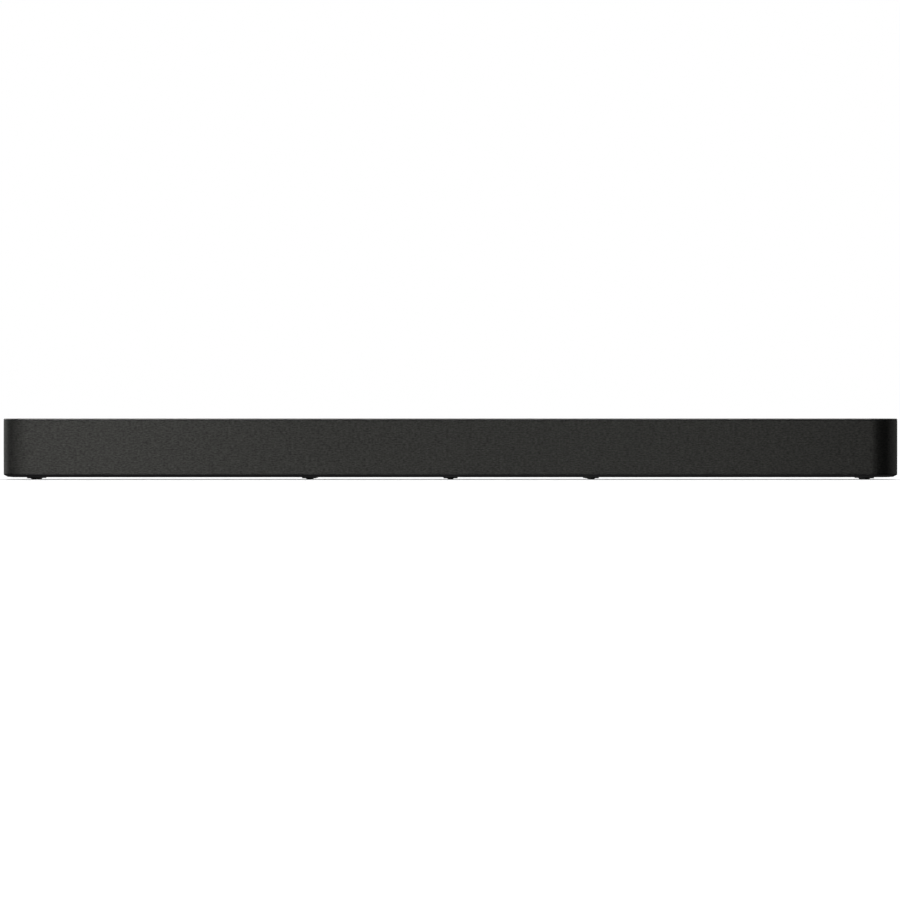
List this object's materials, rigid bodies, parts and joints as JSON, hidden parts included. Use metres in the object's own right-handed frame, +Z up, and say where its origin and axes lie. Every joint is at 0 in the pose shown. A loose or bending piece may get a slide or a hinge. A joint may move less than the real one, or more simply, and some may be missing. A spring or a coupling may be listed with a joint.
{
  "type": "soundbar",
  "caption": "Slim free-standing television soundbar with a cloth-wrapped front, plastic covers, racetrack speakers, rear sockets and bass ports, and press keys on top.",
  "frame": {"origin": "on the table under the centre of the bar, level with the soles of the feet", "axes": "+X to the right along the bar as a listener sees it, +Y from the cloth front to the back, +Z up"},
  "size_m": [0.95, 0.128, 0.0647],
  "materials": {
    "casing_plastic": "fine moulded grain",
    "grille_fabric": "tight plain weave",
    "frame_plastic": "matt",
    "baffle_plastic": "matt",
    "port_plastic": "satin",
    "soft_rubber": "matt",
    "surround_rubber": "satin",
    "key_plastic": "satin",
    "circuit_board": "solder mask",
    "power_circuit_board": "bare paper laminate",
    "component_plastic": "moulded",
    "ribbon_plastic": "satin",
    "cone_paper": "coated pulp",
    "coil_copper": "wound wire",
    "basket_plastic": "moulded",
    "magnet_ferrite": "ground",
    "yoke_steel": "zinc plated",
    "screw_steel": "black zinc",
    "shield_steel": "plated sheet",
    "sink_aluminium": "extruded",
    "brass": "turned",
    "wire_sleeve": "satin"
  },
  "bodies": {
    "bar": {"top_cover": "casing_plastic", "bottom_cover": "casing_plastic", "grille_cloth": "grille_fabric", "grille_frame": "frame_plastic", "grille_grommets": "soft_rubber", "rear_cover": "casing_plastic", "port_bay": "port_plastic", "front_feet": "soft_rubber", "rear_feet": "soft_rubber", "key_board": "circuit_board", "key_switches": "component_plastic", "key_ribbon": "ribbon_plastic", "front_baffle": "baffle_plastic", "left_suspension": "surround_rubber", "left_sub_suspension": "surround_rubber", "centre_suspension": "surround_rubber", "right_sub_suspension": "surround_rubber", "right_suspension": "surround_rubber", "driver_baskets": "basket_plastic", "driver_gaskets": "soft_rubber", "driver_magnets": "magnet_ferrite", "driver_yokes": "yoke_steel", "driver_screws": "screw_steel", "speaker_boxes": "baffle_plastic", "sub_boxes": "baffle_plastic", "bass_ports": "port_plastic", "display_board": "circuit_board", "display_ribbon": "ribbon_plastic", "main_board": "circuit_board", "main_board_parts": "component_plastic", "wireless_module": "shield_steel", "heat_sink": "sink_aluminium", "hdmi_port": "shield_steel", "usb_port": "shield_steel", "optical_port": "port_plastic", "audio_jack": "port_plastic", "power_board": "power_circuit_board", "power_board_parts": "component_plastic", "ac_inlet": "port_plastic", "board_standoffs": "brass", "board_screws": "screw_steel", "wall_inserts": "brass", "cover_screws": "screw_steel", "wires": "wire_sleeve"},
    "power_button": {"power_key": "key_plastic"},
    "source_button": {"source_key": "key_plastic"},
    "pairing_button": {"pairing_key": "key_plastic"},
    "volume_down_button": {"volume_down_key": "key_plastic"},
    "volume_up_button": {"volume_up_key": "key_plastic"},
    "left_diaphragm": {"left_cone": "cone_paper", "left_voice_coil": "coil_copper"},
    "left_sub_diaphragm": {"left_sub_cone": "cone_paper", "left_sub_voice_coil": "coil_copper"},
    "centre_diaphragm": {"centre_cone": "cone_paper", "centre_voice_coil": "coil_copper"},
    "right_sub_diaphragm": {"right_sub_cone": "cone_paper", "right_sub_voice_coil": "coil_copper"},
    "right_diaphragm": {"right_cone": "cone_paper", "right_voice_coil": "coil_copper"},
    "socket_flap": {"optical_shutter": "port_plastic"}
  },
  "joints": [
    {"name": "power_key_press", "type": "slide", "parent": "bar", "child": "power_button", "axis": [0, 0, -1], "range_m": [0, 0.0007], "stiffness_N_per_m": 1500, "springref_m": -0.0005},
    {"name": "source_key_press", "type": "slide", "parent": "bar", "child": "source_button", "axis": [0, 0, -1], "range_m": [0, 0.0007], "stiffness_N_per_m": 1500, "springref_m": -0.0005},
    {"name": "pairing_key_press", "type": "slide", "parent": "bar", "child": "pairing_button", "axis": [0, 0, -1], "range_m": [0, 0.0007], "stiffness_N_per_m": 1500, "springref_m": -0.0005},
    {"name": "volume_down_key_press", "type": "slide", "parent": "bar", "child": "volume_down_button", "axis": [0, 0, -1], "range_m": [0, 0.0007], "stiffness_N_per_m": 1500, "springref_m": -0.0005},
    {"name": "volume_up_key_press", "type": "slide", "parent": "bar", "child": "volume_up_button", "axis": [0, 0, -1], "range_m": [0, 0.0007], "stiffness_N_per_m": 1500, "springref_m": -0.0005},
    {"name": "left_cone_travel", "type": "slide", "parent": "bar", "child": "left_diaphragm", "axis": [0, -1, 0], "range_m": [-0.002, 0.002], "stiffness_N_per_m": 2200, "deforming": ["left_suspension"]},
    {"name": "left_sub_cone_travel", "type": "slide", "parent": "bar", "child": "left_sub_diaphragm", "axis": [0, -1, 0], "range_m": [-0.004, 0.004], "stiffness_N_per_m": 1200, "deforming": ["left_sub_suspension"]},
    {"name": "centre_cone_travel", "type": "slide", "parent": "bar", "child": "centre_diaphragm", "axis": [0, -1, 0], "range_m": [-0.002, 0.002], "stiffness_N_per_m": 2200, "deforming": ["centre_suspension"]},
    {"name": "right_sub_cone_travel", "type": "slide", "parent": "bar", "child": "right_sub_diaphragm", "axis": [0, -1, 0], "range_m": [-0.004, 0.004], "stiffness_N_per_m": 1200, "deforming": ["right_sub_suspension"]},
    {"name": "right_cone_travel", "type": "slide", "parent": "bar", "child": "right_diaphragm", "axis": [0, -1, 0], "range_m": [-0.002, 0.002], "stiffness_N_per_m": 2200, "deforming": ["right_suspension"]},
    {"name": "optical_shutter_swing", "type": "hinge", "parent": "bar", "child": "socket_flap", "pos_m": [0.06, 0.0441, 0.036], "axis": [-1, 0, 0], "range_deg": [0, 85], "stiffness_Nm_per_rad": 0.0002, "springref_deg": -22.92}
  ]
}
